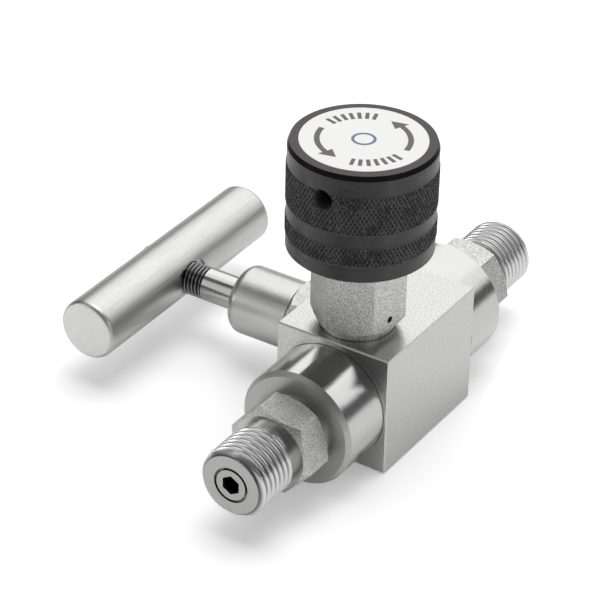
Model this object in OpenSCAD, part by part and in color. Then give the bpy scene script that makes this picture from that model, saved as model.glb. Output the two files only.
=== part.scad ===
// Block and bleed valve with two male pipe ports, in millimetres.
// The origin is the middle of the block's underside. +X runs along the flow axis to the inlet,
// +Y along the isolation spindle to the T-bar and +Z along the bleed spindle to the knob.

/* [Valve body] */
// Length of the square block along the flow axis
block_l = 30.2; // [28:0.1:36]
// Width of the block across the flow axis
block_w = 23.4; // [22:0.1:28]
// Height of the block
block_h = 24; // [22:0.1:28]
// Broken edges of the block
block_edge = 0.3; // [0.1:0.05:1]
// Diameter of the turned collars
collar_d = 22.5; // [20:0.1:23.2]
// How far each collar stands out of the block
collar_l = 11.8; // [10:0.1:16]
// Chamfer at the collar's face
collar_chamfer = 0.8; // [0.2:0.1:1.5]
// Length of the step ring where a collar meets the block
step_l = 0.4; // [0.3:0.1:2]
// How far the step ring stands above the collar
step_rise = 0.1; // [0.05:0.05:0.4]
// Length of the groove between the step ring and the collar
step_groove_l = 0.3; // [0.1:0.1:1]
// Depth of that groove
step_groove_depth = 0.2; // [0.1:0.05:0.5]

/* [Flow passages] */
// Height of the flow axis above the underside
flow_z = 12; // [11.6:0.1:14]
// Diameter of the drilled passages
passage_d = 3; // [2:0.1:3.2]
// Distance of the inlet drilling from the flow axis, away from the T-bar
inlet_offset = 3; // [2.7:0.1:3.4]
// Distance of the outlet drilling from the flow axis, towards the T-bar
outlet_offset = 0.9; // [0.5:0.1:1.5]
// Distance of the isolation seat from the flow axis, away from the T-bar
isolation_seat_y = 0.6; // [0.2:0.1:0.9]
// Diameter of the isolation seat
isolation_seat_d = 3; // [2:0.1:3.4]
// Height of the bleed seat above the flow axis
bleed_seat_z = 3.2; // [2.4:0.1:4]
// Diameter of the bleed seat
bleed_seat_d = 2; // [1.4:0.1:2.4]
// Diameter of the chamber round each needle
chamber_d = 5.2; // [5.1:0.1:6]

/* [Port adapters] */
// Outer diameter of the male port thread
port_thread_d = 13.157; // [12:0.001:14]
// Length of the male port thread, with its end chamfer
port_thread_l = 10; // [7:0.1:14]
// Chamfer at the thread's end
port_thread_chamfer = 0.9; // [0.4:0.1:1.4]
// Diameter of the relief between thread and hex
port_relief_d = 11.4; // [10.5:0.1:12]
// Length of the relief between thread and hex
port_relief_l = 1.7; // [0.8:0.1:3]
// Length of the cone from the relief up to the thread
port_runout_l = 0.5; // [0.2:0.1:1]
// Length of the adapter's hex
port_hex_l = 7.3; // [5:0.1:12]
// Diameter of the round face behind the hex
port_washer_d = 13.6; // [12.4:0.1:14.6]
// Length of the round face behind the hex
port_washer_l = 1.2; // [0.4:0.1:2.5]
// Bore through the adapters
port_bore_d = 4; // [3:0.1:5]
// Diameter of the adapter's thread in the collar
spigot_d = 12; // [11:0.1:13]
// Length of the adapter's thread in the collar
spigot_l = 9; // [6:0.1:9.6]
// Turn of the inlet adapter's hex about its axis
inlet_hex_turn = 36.3; // [0:0.1:60]
// Turn of the outlet adapter's hex about its axis
outlet_hex_turn = 17.7; // [0:0.1:60]

/* [Outlet restrictor] */
// Diameter of the hollow screw in the outlet bore
restrictor_d = 5.9; // [5.2:0.1:6.4]
// Length of the hollow screw
restrictor_l = 7; // [5:0.1:12]
// Gap round the screw's head at the mouth
restrictor_gap = 0.5; // [0.2:0.05:0.8]
// Depth of that gap
restrictor_gap_depth = 1.6; // [0.6:0.1:3]
// Width across the flats of its hex socket
socket_af = 3.3; // [2.5:0.1:4]
// Depth of its hex socket
socket_depth = 5; // [1.5:0.1:6]
// Bore through the screw
restrictor_bore_d = 1.6; // [0.8:0.1:2.2]

/* [Bonnets] */
// Width across the flats of every hex
hex_af = 15; // [14:0.1:16]
// Slope of the chamfers on the hexes
hex_chamfer_angle = 38; // [25:1:45]
// Diameter where a hex's chamfer meets its end face
hex_face_d = 14.4; // [14.1:0.1:14.9]
// Diameter of a bonnet's thread in the block
bonnet_thread_d = 12; // [11:0.1:12.6]
// Length of a bonnet's thread in the block
bonnet_thread_l = 6.4; // [5.5:0.1:6.8]
// Diameter of the bonnet's neck, inside its cap
neck_d = 11.2; // [10.6:0.1:11.6]
// Thickness of the flat seal rings
seal_t = 0.8; // [0.4:0.1:1]
// Width of the flat seal rings
seal_w = 1.3; // [0.8:0.1:1.6]
// Radial play of the flat seal rings in their bores
seal_play = 0.2; // [0.1:0.05:0.4]
// Gap between a hex and the cap on its neck
cap_gap = 0.4; // [0.1:0.1:1]

/* [Isolation valve] */
// Place of the isolation axis along the flow axis
isolation_x = 4.3; // [4:0.1:6]
// Length of the isolation bonnet's hex
isolation_hex_l = 6.9; // [5:0.1:10]
// Turn of the isolation bonnet's hex about its axis
isolation_hex_turn = 48; // [0:0.1:60]
// Length of the isolation bonnet's neck
isolation_neck_l = 9.6; // [8:0.1:10.4]
// Bore of the packing chamber in the neck
packing_d = 9.2; // [8.4:0.1:9.6]
// Depth of the packing chamber
packing_depth = 8.8; // [7.6:0.1:9.2]
// Diameter of the gland cap
gland_cap_d = 13.4; // [13:0.1:14.4]
// Length of the gland cap
gland_cap_l = 12.8; // [12:0.1:16]
// Radius of the gland cap's nose
gland_cap_nose = 2; // [0.5:0.1:2.8]
// Thickness of one packing ring
packing_ring_t = 1.5; // [1:0.1:2]
// Number of packing rings
packing_rings = 3; // [2:1:4]
// How far the gland bush stands out of the neck, under the cap's roof
gland_bush_rise = 1; // [0.4:0.1:1.4]
// Thickness of the washer under the packing
packing_washer_t = 0.8; // [0.5:0.1:1.2]

/* [Spindles] */
// Diameter of the polished shanks
shank_d = 6.5; // [6:0.1:6.8]
// Diameter of the isolation spindle's operating thread
isolation_thread_d = 7.4; // [7.1:0.1:8]
// Length of the isolation spindle's operating thread
isolation_thread_l = 8; // [6:0.1:8.6]
// Travel of the isolation spindle
isolation_travel = 4; // [3:0.5:4]
// Diameter of the bleed spindle's operating thread
bleed_thread_d = 8.8; // [8.4:0.1:9.4]
// Length of the bleed spindle's operating thread
bleed_thread_l = 5; // [4:0.1:6]
// Travel of the bleed spindle
bleed_travel = 2.5; // [2:0.5:3]
// Gap left at the end of a spindle's travel, where its thread would stop
stop_gap = 0.4; // [0.2:0.1:0.6]
// Radial clearance of the shanks in the roofs of their caps
cap_clearance = 0.15; // [0.1:0.05:0.3]
// Radial clearance of turning pieces in their bores
running_gap = 0.04; // [0.02:0.01:0.08]
// Radial clearance of pieces that are screwed or pushed together
seat_gap = 0.02; // [0.01:0.01:0.03]

/* [Needles] */
// Diameter of the isolation needle's body
isolation_needle_d = 4.6; // [4:0.1:4.8]
// Diameter of the bleed needle's body
bleed_needle_d = 4; // [3.6:0.1:4.8]
// Full angle of the needle cones
needle_angle = 60; // [50:1:70]
// Length of a needle's cylindrical body
needle_body_l = 2.4; // [1.6:0.1:3]
// Diameter of the swaged head that holds a needle in its spindle
needle_head_d = 3.2; // [2.8:0.1:3.4]
// Length of that head
needle_head_l = 1.2; // [0.8:0.1:1.6]
// Diameter of the neck between needle and head
needle_neck_d = 2.2; // [1.6:0.1:2.4]
// Length of the spindle's swaged lip
swage_l = 0.8; // [0.5:0.1:1.2]
// How far a needle's cone reaches through its seat
needle_reach = 1.3; // [0.8:0.1:1.4]

/* [T-bar] */
// Diameter of the T-bar
t_bar_d = 11.8; // [10.6:0.1:14]
// Length of the T-bar
t_bar_l = 52.8; // [40:0.1:70]
// Distance of the T-bar's axis from the flow axis
t_bar_y = 49; // [48:0.1:54]
// Chamfer at the T-bar's ends
t_bar_chamfer = 0.5; // [0.2:0.1:1.5]
// Diameter of the countersink round the stem
t_bar_sink_d = 8; // [7.4:0.1:9]
// Length of the stem's outer thread
stem_thread_l = 11.2; // [10:0.1:11.8]
// Distance of that thread's start from the T-bar's axis
stem_thread_start = 9.4; // [8.8:0.1:10.2]
// Relief of that thread below the shank, on the diameter
stem_thread_drop = 0.1; // [0:0.05:0.4]
// Length of the grub screw that locks the T-bar
t_bar_grub_l = 3.4; // [2:0.1:3.8]
// Width across the flats of the grub screws' sockets
grub_socket_af = 2; // [1.5:0.1:2.2]

/* [Bleed valve] */
// Place of the bleed axis along the flow axis
bleed_x = -6.9; // [-7.6:0.1:-6]
// Diameter of the round face under the bleed hex
bleed_washer_d = 13.5; // [12.6:0.1:14.2]
// Height of that round face
bleed_washer_l = 1.4; // [0.6:0.1:2]
// Length of the bleed bonnet's hex
bleed_hex_l = 16.4; // [15.6:0.1:17]
// Turn of the bleed bonnet's hex about its axis
bleed_hex_turn = 50.5; // [0:0.1:60]
// Length of the bleed bonnet's neck
bleed_neck_l = 6.4; // [5:0.1:6.6]
// Flat of the bleed hex that holds the vent hole
vent_flat = 3; // [0:1:5]
// Diameter of the vent hole
vent_d = 1.3; // [0.8:0.1:2]
// Height of the vent hole above the block
vent_z = 3.7; // [3:0.1:5]
// Diameter of the bleed spindle's seal section
seal_section_d = 7.8; // [7.4:0.1:8]
// Diameter of the bleed spindle below its seal section
lower_spindle_d = 5; // [4.6:0.1:5]
// Length of the seal section
seal_section_l = 5; // [4.6:0.1:5.2]
// Length of smooth bore left below the operating thread, when shut
bleed_land_l = 1; // [0.4:0.1:1.4]
// Thickness of the O-ring's cord
o_ring_t = 1.8; // [1.5:0.1:2]
// Thickness of the back-up ring
backup_ring_t = 0.9; // [0.6:0.1:1.1]
// Diameter of the retaining cap
retaining_cap_d = 13.8; // [13.2:0.1:15]
// Thickness of the retaining cap's roof
retaining_cap_roof = 1.8; // [1.2:0.1:2]

/* [Knob] */
// Diameter of the knob's smooth bands
knob_d = 26.4; // [24:0.1:30]
// How far the knurled bands stand out, on the radius
knurl_rise = 0.15; // [0.05:0.05:0.4]
// How far the knob's skirt reaches down over the bleed hex
knob_skirt = 1.7; // [1:0.1:3]
// Height of the knob
knob_h = 21; // [20.4:0.1:26]
// Height of the smooth band at the foot
knob_foot_h = 3.3; // [2:0.1:5]
// Height of the lower knurled band
lower_knurl_h = 3.2; // [2:0.1:5]
// Height of the waist between the knurled bands
waist_h = 3; // [2:0.1:5]
// Height of the upper knurled band
upper_knurl_h = 7.2; // [4:0.1:8]
// Height of the chamfer at the knob's top
knob_chamfer_h = 0.95; // [0.5:0.05:1.5]
// Width of that chamfer
knob_chamfer_w = 0.35; // [0.2:0.05:1]
// Diameter of the hollow under the knob
knob_hollow_d = 19; // [18.4:0.1:21]
// Gap between the retaining cap and the knob's hub, when shut
hub_gap = 1.7; // [0.5:0.1:2]
// How deep the spindle sits in the knob's hub
hub_depth = 6.2; // [5.4:0.1:6.8]
// Diameter of the hole for the knob's grub screw
knob_grub_d = 3.9; // [3:0.1:5]
// Height of that hole above the hub's underside
knob_grub_rise = 3.7; // [3:0.1:4.2]
// Length of the knob's grub screw
knob_grub_l = 6; // [4:0.1:7]
// Diameter of the label
label_d = 22.5; // [18:0.1:24]
// Thickness of the label
label_t = 0.4; // [0.2:0.1:0.8]
// Depth of the label's recess
label_recess = 0.3; // [0.1:0.1:0.6]

/* [Hidden] */
$fn = 96;
// Overrun of cuts past the faces they open, and of joined shapes into each other
over = 1;
// How far the envelope of a hex reaches past its corners
hex_reach = 0.5;

// Colours, as the photograph shows them
block_steel = [0.72, 0.72, 0.71];
turned_steel = [0.62, 0.62, 0.62];
dark_steel = [0.3, 0.3, 0.31];
ptfe_white = [0.93, 0.93, 0.9];
seal_black = [0.08, 0.08, 0.08];
knob_black = [0.12, 0.12, 0.13];
label_white = [0.9, 0.9, 0.88];

// Ports, measured from the origin along the flow axis
collar_x = block_l / 2 + collar_l;
port_depth = spigot_l + seal_t;
port_bottom_x = collar_x - port_depth;
spigot_r = spigot_d / 2;
adapter_l = port_washer_l + port_hex_l + port_relief_l + port_thread_l;
hex_r = hex_af / sqrt(3);

// Isolation valve, measured from the flow axis along +Y
isolation_face = block_w / 2;
isolation_thread_end = isolation_face - bonnet_thread_l;
isolation_neck_start = isolation_face + isolation_hex_l;
isolation_neck_end = isolation_neck_start + isolation_neck_l;
packing_start = isolation_neck_end - packing_depth;
isolation_thread_top = packing_start - isolation_travel - stop_gap;
gland_bush_start = packing_start + packing_washer_t + packing_rings * packing_ring_t;
gland_bush_end = isolation_neck_end + gland_bush_rise;
gland_cap_start = isolation_neck_start + cap_gap;
gland_cap_end = gland_cap_start + gland_cap_l;
stem_end = t_bar_y - stem_thread_start + stem_thread_l;

// Bleed valve, measured from the block's top along +Z
bleed_seat_depth = block_h - flow_z - bleed_seat_z;
bleed_hex_end = bleed_washer_l + bleed_hex_l;
bleed_neck_end = bleed_hex_end + bleed_neck_l;
bleed_bore_d = seal_section_d + 2 * running_gap;
bleed_thread_top = bleed_neck_end - bleed_travel - stop_gap;
bleed_thread_z = bleed_thread_top - bleed_thread_l;
bleed_thread_bore_z = bleed_thread_z - bleed_land_l;
seal_section_end = bleed_thread_bore_z - bleed_travel - stop_gap;
seal_section_z = seal_section_end - seal_section_l;
groove_d = seal_section_d - 2 * o_ring_t;
groove_z = seal_section_z + (seal_section_l - o_ring_t - backup_ring_t) / 2;
groove_end = groove_z + o_ring_t + backup_ring_t;
retaining_cap_end = bleed_neck_end + retaining_cap_roof;
retaining_cap_start = bleed_hex_end + cap_gap;
knob_z = bleed_hex_end - knob_skirt;
knob_top = knob_z + knob_h;
hub_z = retaining_cap_end + hub_gap;
knob_grub_z = hub_z + knob_grub_rise;
bleed_spindle_end = hub_z + hub_depth;

// Puts a child's +Z along the flow axis, towards the inlet (side 1) or the outlet (side -1)
module on_port_axis(side) {
  translate([0, 0, flow_z])
    rotate([0, side * 90, 0])
      children();
}

// Puts a child's +Z along the isolation axis, from the flow axis towards the T-bar
module on_isolation_axis() {
  translate([isolation_x, 0, flow_z])
    rotate([-90, 0, 0])
      children();
}

// Puts a child's +Z along the bleed axis, from the block's top towards the knob
module on_bleed_axis() {
  translate([bleed_x, 0, block_h])
    children();
}

// Cylinder between two heights
module rod(d, from, to) {
  translate([0, 0, from])
    cylinder(d = d, h = to - from);
}

// Flat ring between two heights
module ring(outer_d, inner_d, from, to) {
  difference() {
    rod(outer_d, from, to);
    rod(inner_d, from - over, to + over);
  }
}

// Hexagonal prism between two heights
module hex_rod(af, from, to, turn = 0) {
  translate([0, 0, from])
    rotate([0, 0, turn])
      cylinder(r = af / sqrt(3), h = to - from, $fn = 6);
}

// Wrench hex whose corners are turned down to a cone at either end
module turned_hex(from, to, turn, lower_chamfer = true, upper_chamfer = true) {
  reach = hex_r + hex_reach;
  face_r = hex_face_d / 2;
  cone_h = (reach - face_r) * tan(hex_chamfer_angle);
  lower_r = lower_chamfer ? face_r : reach;
  upper_r = upper_chamfer ? face_r : reach;
  intersection() {
    hex_rod(hex_af, from, to, turn);
    rotate_extrude()
      polygon([
        [0, from],
        [lower_r, from],
        [reach, from + (lower_chamfer ? cone_h : 0)],
        [reach, to - (upper_chamfer ? cone_h : 0)],
        [upper_r, to],
        [0, to]
      ]);
  }
}

// Square block with every edge broken
module block() {
  module broken(a, b) {
    polygon([
      [-a / 2 + block_edge, -b / 2],
      [a / 2 - block_edge, -b / 2],
      [a / 2, -b / 2 + block_edge],
      [a / 2, b / 2 - block_edge],
      [a / 2 - block_edge, b / 2],
      [-a / 2 + block_edge, b / 2],
      [-a / 2, b / 2 - block_edge],
      [-a / 2, -b / 2 + block_edge]
    ]);
  }
  translate([0, 0, block_h / 2])
    intersection() {
      linear_extrude(block_h, center = true)
        broken(block_l, block_w);
      rotate([90, 0, 0])
        linear_extrude(block_w, center = true)
          broken(block_l, block_h);
      rotate([90, 0, 90])
        linear_extrude(block_l, center = true)
          broken(block_w, block_h);
    }
}

// One turned collar with the step ring at the block
module collar() {
  r = collar_d / 2;
  root = block_l / 2 - over;
  step_end = block_l / 2 + step_l;
  rotate_extrude()
    polygon([
      [0, root],
      [r + step_rise, root],
      [r + step_rise, step_end],
      [r - step_groove_depth, step_end],
      [r - step_groove_depth, step_end + step_groove_l],
      [r, step_end + step_groove_l],
      [r, collar_x - collar_chamfer],
      [r - collar_chamfer, collar_x],
      [0, collar_x]
    ]);
}

// Female port in a collar, and the drilling from its bottom towards the block's middle
module port_cut(side, offset, reach_x) {
  on_port_axis(side) {
    rod(spigot_d + 2 * seat_gap, port_bottom_x, collar_x + over);
    translate([0, offset, 0])
      rod(passage_d, reach_x, port_bottom_x + over);
  }
}

// Bore for a bonnet, the needle's chamber and the seat, from the face down
module valve_cut(face, seat, seat_d, end) {
  rod(bonnet_thread_d + 2 * seat_gap, face - bonnet_thread_l - seal_t, face + over);
  rod(chamber_d, seat, face);
  rod(seat_d, end, seat + over);
}

module valve_body() {
  color(block_steel)
    difference() {
      union() {
        block();
        for (side = [-1, 1])
          on_port_axis(side)
            collar();
      }
      port_cut(1, -inlet_offset, isolation_x - passage_d / 2);
      port_cut(-1, outlet_offset, -isolation_x);
      on_isolation_axis()
        valve_cut(isolation_face, -isolation_seat_y, isolation_seat_d, -inlet_offset);
      on_bleed_axis()
        valve_cut(0, -bleed_seat_depth, bleed_seat_d, flow_z - block_h);
    }
}

// Hex adapter along its port axis, without its bores
module adapter_blank(turn) {
  hex_start = collar_x + port_washer_l;
  hex_end = hex_start + port_hex_l;
  thread_start = hex_end + port_relief_l;
  thread_end = thread_start + port_thread_l;
  thread_r = port_thread_d / 2;
  thread_root_r = port_relief_d / 2;
  rod(spigot_d, collar_x - spigot_l, hex_start + over);
  rod(port_washer_d, collar_x, hex_start + over);
  turned_hex(hex_start, hex_end, turn);
  rotate_extrude()
    polygon([
      [0, hex_end - over],
      [thread_root_r, hex_end - over],
      [thread_root_r, thread_start],
      [thread_r, thread_start + port_runout_l],
      [thread_r, thread_end - port_thread_chamfer],
      [thread_r - port_thread_chamfer, thread_end],
      [0, thread_end]
    ]);
}

module inlet_adapter() {
  color(turned_steel)
    on_port_axis(1)
      difference() {
        adapter_blank(inlet_hex_turn);
        rod(port_bore_d, 0, collar_x + adapter_l + over);
      }
}

module outlet_adapter() {
  mouth = collar_x + adapter_l;
  color(turned_steel)
    on_port_axis(-1)
      difference() {
        adapter_blank(outlet_hex_turn);
        rod(port_bore_d, 0, mouth);
        rod(restrictor_d + 2 * seat_gap, mouth - restrictor_l, mouth + over);
        rod(restrictor_d + 2 * restrictor_gap, mouth - restrictor_gap_depth, mouth + over);
      }
}

// Flat seal ring that lies at the bottom of a bore
module flat_seal(bore_d, from) {
  outer_d = bore_d - 2 * seal_play;
  color(ptfe_white)
    ring(outer_d, outer_d - 2 * seal_w, from, from + seal_t);
}

module adapter_seal(side) {
  on_port_axis(side)
    flat_seal(spigot_d, port_bottom_x);
}

module inlet_adapter_seal() {
  adapter_seal(1);
}

module outlet_adapter_seal() {
  adapter_seal(-1);
}

// Hollow screw, flush with the outlet's end face
module outlet_restrictor() {
  mouth = collar_x + adapter_l;
  color(turned_steel)
    on_port_axis(-1)
      difference() {
        rod(restrictor_d, mouth - restrictor_l, mouth);
        hex_rod(socket_af, mouth - socket_depth, mouth + over);
        rod(restrictor_bore_d, mouth - restrictor_l - over, mouth);
      }
}

module isolation_bonnet() {
  thread_bore_d = isolation_thread_d + 2 * running_gap;
  color(turned_steel)
    on_isolation_axis()
      difference() {
        union() {
          rod(bonnet_thread_d, isolation_thread_end, isolation_face + over);
          turned_hex(isolation_face, isolation_neck_start, isolation_hex_turn, false, true);
          rod(neck_d, isolation_neck_start - over, isolation_neck_end);
        }
        rod(thread_bore_d, isolation_thread_end - over, packing_start + over);
        rod(packing_d, packing_start, isolation_neck_end + over);
      }
}

module isolation_bonnet_seal() {
  on_isolation_axis()
    flat_seal(bonnet_thread_d, isolation_thread_end - seal_t);
}

// One ring of the stem's packing stack
module packing_ring(from, thickness) {
  ring(packing_d - 2 * seat_gap, shank_d + 2 * running_gap, from, from + thickness);
}

module isolation_packing_washer() {
  color(turned_steel)
    on_isolation_axis()
      packing_ring(packing_start, packing_washer_t);
}

module isolation_packing_rings() {
  color(ptfe_white)
    on_isolation_axis()
      for (i = [0 : packing_rings - 1])
        packing_ring(packing_start + packing_washer_t + i * packing_ring_t, packing_ring_t - seat_gap);
}

module isolation_gland_bush() {
  color(dark_steel)
    on_isolation_axis()
      packing_ring(gland_bush_start, gland_bush_end - gland_bush_start);
}

// Round cap whose roof presses on the gland bush
module isolation_gland_cap() {
  r = gland_cap_d / 2;
  color(turned_steel)
    on_isolation_axis()
      difference() {
        rotate_extrude()
          union() {
            translate([0, gland_cap_start])
              square([r, gland_cap_l - gland_cap_nose]);
            translate([0, gland_cap_end - gland_cap_nose])
              square([r - gland_cap_nose, gland_cap_nose]);
            intersection() {
              translate([r - gland_cap_nose, gland_cap_end - gland_cap_nose])
                circle(gland_cap_nose);
              translate([0, gland_cap_end - gland_cap_nose])
                square([r, gland_cap_nose]);
            }
          }
        rod(neck_d + 2 * seat_gap, gland_cap_start - over, gland_bush_end);
        rod(shank_d + 2 * cap_clearance, gland_bush_end - over, gland_cap_end + over);
      }
}

// Needle tip with a neck and a head for the swage; z = 0 is the seat
module needle(seat_d, body_d) {
  slope = tan(needle_angle / 2);
  contact_r = seat_d / 2 - running_gap;
  cone_end = (body_d / 2 - contact_r) / slope;
  body_end = cone_end + needle_body_l;
  neck_end = body_end + swage_l + 2 * running_gap;
  rotate_extrude()
    polygon([
      [0, -needle_reach],
      [contact_r - needle_reach * slope, -needle_reach],
      [body_d / 2, cone_end],
      [body_d / 2, body_end],
      [needle_neck_d / 2, body_end],
      [needle_neck_d / 2, neck_end],
      [needle_head_d / 2, neck_end],
      [needle_head_d / 2, neck_end + needle_head_l],
      [0, neck_end + needle_head_l]
    ]);
}

// Height of the spindle's lower end above its seat
function spindle_foot(seat_d, body_d) =
  (body_d / 2 - seat_d / 2 + running_gap) / tan(needle_angle / 2) + needle_body_l + running_gap;

// Socket in a spindle's foot for the needle's head; z = 0 is the foot
module needle_socket() {
  rod(needle_neck_d + 2 * running_gap, -over, swage_l + over);
  rod(needle_head_d + 2 * running_gap, swage_l, swage_l + needle_head_l + 3 * running_gap);
}

module isolation_needle() {
  color(dark_steel)
    on_isolation_axis()
      translate([0, 0, -isolation_seat_y])
        needle(isolation_seat_d, isolation_needle_d);
}

module isolation_spindle() {
  foot = spindle_foot(isolation_seat_d, isolation_needle_d) - isolation_seat_y;
  thread_from = isolation_thread_top - isolation_thread_l;
  color(turned_steel)
    on_isolation_axis()
      difference() {
        union() {
          rod(isolation_needle_d, foot, thread_from + over);
          rod(isolation_thread_d, thread_from, isolation_thread_top);
          rod(shank_d, isolation_thread_top - over, t_bar_y - stem_thread_start);
          rod(shank_d - stem_thread_drop, t_bar_y - stem_thread_start - over, stem_end);
        }
        translate([0, 0, foot])
          needle_socket();
      }
}

// Cross bar, tapped through for the stem and its grub screw
module t_bar() {
  r = t_bar_d / 2;
  half = t_bar_l / 2;
  tap_d = shank_d + 2 * seat_gap;
  sink_h = (t_bar_sink_d - tap_d) / 2;
  color(turned_steel)
    on_isolation_axis()
      translate([0, 0, t_bar_y])
        difference() {
          rotate([0, 90, 0])
            rotate_extrude()
              polygon([
                [0, -half],
                [r - t_bar_chamfer, -half],
                [r, -half + t_bar_chamfer],
                [r, half - t_bar_chamfer],
                [r - t_bar_chamfer, half],
                [0, half]
              ]);
          rod(tap_d, -r - over, r + over);
          rod(t_bar_sink_d, -r - over, -r + sink_h);
        }
}

// Headless screw with a hex socket at its outer end
module grub_screw(d, from, to) {
  socket = min(2, (to - from) / 2);
  difference() {
    rod(d, from, to);
    hex_rod(grub_socket_af, to - socket, to + over);
  }
}

module t_bar_grub_screw() {
  color(dark_steel)
    on_isolation_axis()
      grub_screw(shank_d, stem_end, stem_end + t_bar_grub_l);
}

module bleed_bonnet() {
  vent_turn = bleed_hex_turn + 30 + 60 * vent_flat;
  color(turned_steel)
    on_bleed_axis()
      difference() {
        union() {
          rod(bonnet_thread_d, -bonnet_thread_l, over);
          rod(bleed_washer_d, 0, bleed_washer_l + over);
          turned_hex(bleed_washer_l, bleed_hex_end, bleed_hex_turn);
          rod(neck_d, bleed_hex_end - over, bleed_neck_end);
        }
        rod(bleed_bore_d, -bonnet_thread_l - over, bleed_thread_bore_z + over);
        rod(bleed_thread_d + 2 * running_gap, bleed_thread_bore_z, bleed_neck_end + over);
        translate([0, 0, vent_z])
          rotate([0, 90, vent_turn])
            rod(vent_d, 0, hex_af);
      }
}

module bleed_bonnet_seal() {
  on_bleed_axis()
    flat_seal(bonnet_thread_d, -bonnet_thread_l - seal_t);
}

module bleed_needle() {
  color(dark_steel)
    on_bleed_axis()
      translate([0, 0, -bleed_seat_depth])
        needle(bleed_seat_d, bleed_needle_d);
}

// Spindle with a grooved seal section; its shank holds the knob
module bleed_spindle() {
  foot = spindle_foot(bleed_seat_d, bleed_needle_d) - bleed_seat_depth;
  color(turned_steel)
    on_bleed_axis()
      difference() {
        union() {
          rod(lower_spindle_d, foot, seal_section_z + over);
          rod(seal_section_d, seal_section_z, groove_z);
          rod(groove_d, seal_section_z, seal_section_end);
          rod(seal_section_d, groove_end, seal_section_end);
          rod(shank_d, seal_section_end - over, bleed_spindle_end);
          rod(bleed_thread_d, bleed_thread_z, bleed_thread_top);
        }
        translate([0, 0, foot])
          needle_socket();
      }
}

module bleed_o_ring() {
  cord_r = o_ring_t / 2 - seat_gap;
  color(seal_black)
    on_bleed_axis()
      translate([0, 0, groove_z + o_ring_t / 2])
        rotate_extrude()
          translate([groove_d / 2 + o_ring_t / 2, 0])
            circle(cord_r, $fn = 32);
}

module bleed_backup_ring() {
  color(ptfe_white)
    on_bleed_axis()
      ring(seal_section_d, groove_d + 2 * seat_gap, groove_end - backup_ring_t, groove_end);
}

// Cap on the bleed bonnet's neck; the spindle's thread stops under its roof
module bleed_retaining_cap() {
  color(turned_steel)
    on_bleed_axis()
      difference() {
        rod(retaining_cap_d, retaining_cap_start, retaining_cap_end);
        rod(neck_d + 2 * seat_gap, retaining_cap_start - over, bleed_neck_end);
        rod(shank_d + 2 * cap_clearance, bleed_neck_end - over, retaining_cap_end + over);
      }
}

// Knob with two raised bands for the knurls, hollow below and bored for the spindle
module bleed_knob() {
  r = knob_d / 2;
  band_r = r + knurl_rise;
  lower_z = knob_z + knob_foot_h;
  waist_z = lower_z + lower_knurl_h;
  upper_z = waist_z + waist_h;
  shoulder_z = upper_z + upper_knurl_h;
  color(knob_black)
    on_bleed_axis()
      difference() {
        rotate_extrude()
          polygon([
            [0, knob_z],
            [r - knob_chamfer_w, knob_z],
            [r, knob_z + knob_chamfer_w],
            [r, lower_z],
            [band_r, lower_z],
            [band_r, waist_z],
            [r, waist_z],
            [r, upper_z],
            [band_r, upper_z],
            [band_r, shoulder_z],
            [r, shoulder_z],
            [r, knob_top - knob_chamfer_h],
            [r - knob_chamfer_w, knob_top],
            [0, knob_top]
          ]);
        rod(knob_hollow_d, knob_z - over, hub_z);
        rod(shank_d + 2 * seat_gap, hub_z - over, bleed_spindle_end);
        rod(label_d + 2 * seat_gap, knob_top - label_recess, knob_top + over);
        translate([0, 0, knob_grub_z])
          rotate([0, -90, 0])
            rod(knob_grub_d, 0, knob_d);
      }
}

module knob_grub_screw() {
  tip = shank_d / 2 + seat_gap;
  color(dark_steel)
    on_bleed_axis()
      translate([0, 0, knob_grub_z])
        rotate([0, -90, 0])
          grub_screw(knob_grub_d - 2 * seat_gap, tip, tip + knob_grub_l);
}

module knob_label() {
  color(label_white)
    on_bleed_axis()
      rod(label_d, knob_top - label_recess, knob_top - label_recess + label_t);
}

valve_body();
inlet_adapter();
outlet_adapter();
inlet_adapter_seal();
outlet_adapter_seal();
outlet_restrictor();
isolation_bonnet();
isolation_bonnet_seal();
isolation_packing_washer();
isolation_packing_rings();
isolation_gland_bush();
isolation_gland_cap();
isolation_needle();
isolation_spindle();
t_bar();
t_bar_grub_screw();
bleed_bonnet();
bleed_bonnet_seal();
bleed_needle();
bleed_spindle();
bleed_o_ring();
bleed_backup_ring();
bleed_retaining_cap();
bleed_knob();
knob_grub_screw();
knob_label();
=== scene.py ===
"""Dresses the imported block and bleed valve: real threads, knurls and label print, a material for
every piece, and a plain soft studio. Lengths on the valve are in millimetres, and become metres in
its meshes and materials. The floor's size and the lamps are in metres."""
import math

import bmesh
import bpy
from mathutils import Matrix, Vector


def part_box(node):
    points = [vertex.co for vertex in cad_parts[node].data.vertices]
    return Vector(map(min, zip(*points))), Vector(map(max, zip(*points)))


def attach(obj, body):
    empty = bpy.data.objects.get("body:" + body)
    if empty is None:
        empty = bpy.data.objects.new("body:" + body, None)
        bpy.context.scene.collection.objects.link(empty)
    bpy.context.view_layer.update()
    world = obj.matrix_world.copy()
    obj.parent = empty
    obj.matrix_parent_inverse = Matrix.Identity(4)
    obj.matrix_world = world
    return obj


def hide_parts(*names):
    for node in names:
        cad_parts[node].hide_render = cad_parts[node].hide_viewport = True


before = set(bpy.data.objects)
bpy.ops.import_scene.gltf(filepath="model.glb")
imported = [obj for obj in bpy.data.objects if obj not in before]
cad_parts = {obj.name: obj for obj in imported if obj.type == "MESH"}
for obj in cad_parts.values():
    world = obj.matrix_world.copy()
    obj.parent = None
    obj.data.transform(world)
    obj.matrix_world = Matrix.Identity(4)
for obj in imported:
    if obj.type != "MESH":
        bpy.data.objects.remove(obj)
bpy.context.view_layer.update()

MM = 0.001
FULL_TURN = 2 * math.pi

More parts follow.
